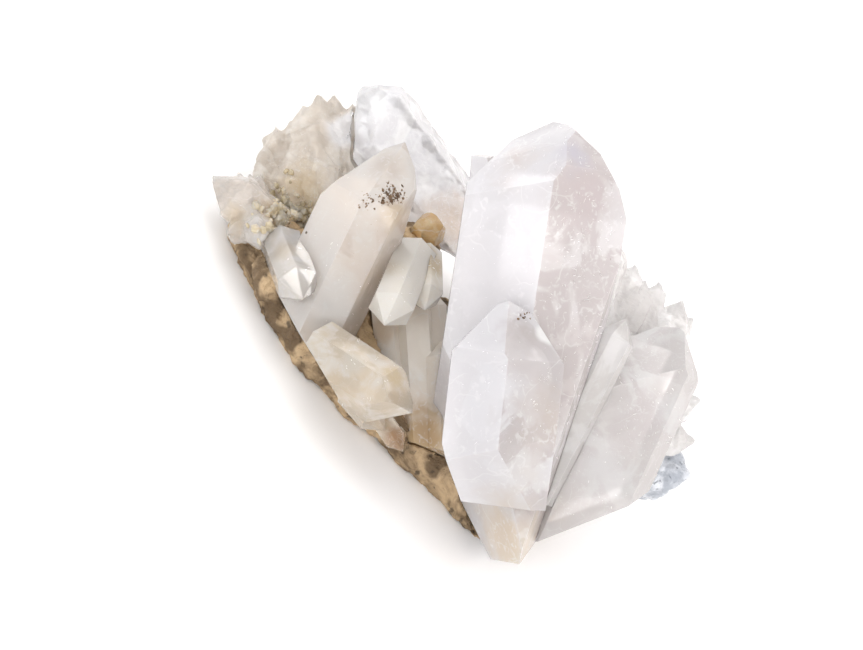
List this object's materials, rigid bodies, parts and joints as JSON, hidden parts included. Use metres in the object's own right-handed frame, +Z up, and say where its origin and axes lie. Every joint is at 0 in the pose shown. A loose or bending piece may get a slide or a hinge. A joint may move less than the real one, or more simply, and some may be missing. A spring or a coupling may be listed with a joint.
{
  "type": "quartz crystal cluster",
  "caption": "Natural quartz crystal cluster: milky, clear-tipped hexagonal crystals on a brown stained matrix, resting on a flat underside.",
  "frame": {"origin": "middle of the cluster's box in plan, on the surface that it rests on", "axes": "+X along the long side of the matrix, from the small crystals at its left end toward the broad crystal; +Z up; -Y toward the best side"},
  "size_m": [0.1504, 0.1082, 0.0908],
  "materials": {
    "milky": "glossy, cloudy and partly see-through",
    "smoky": "glossy, smoky white and partly see-through",
    "amber": "glossy, pale yellowish and cloudy",
    "honey": "honey brown, glossy",
    "frosted": "frosted, brownish at the foot",
    "slate": "slate grey with small bright flecks",
    "matrix": "rough, brown and olive stains"
  },
  "bodies": {
    "root": {"front_crystal": "milky", "tall_crystal": "milky", "leaning_crystal": "smoky", "yellow_crystals": "amber", "small_crystal_left": "smoky", "small_crystal_middle": "smoky", "small_crystal_right": "smoky", "sliver_crystal": "milky", "broad_crystal": "smoky", "back_crystal": "milky", "honey_nub": "honey", "milky_prisms": "smoky", "frosted_crystals": "frosted", "left_druse": "smoky", "right_druse": "smoky", "slate_chunk": "slate", "massive_quartz": "milky", "matrix": "matrix"}
  },
  "joints": []
}
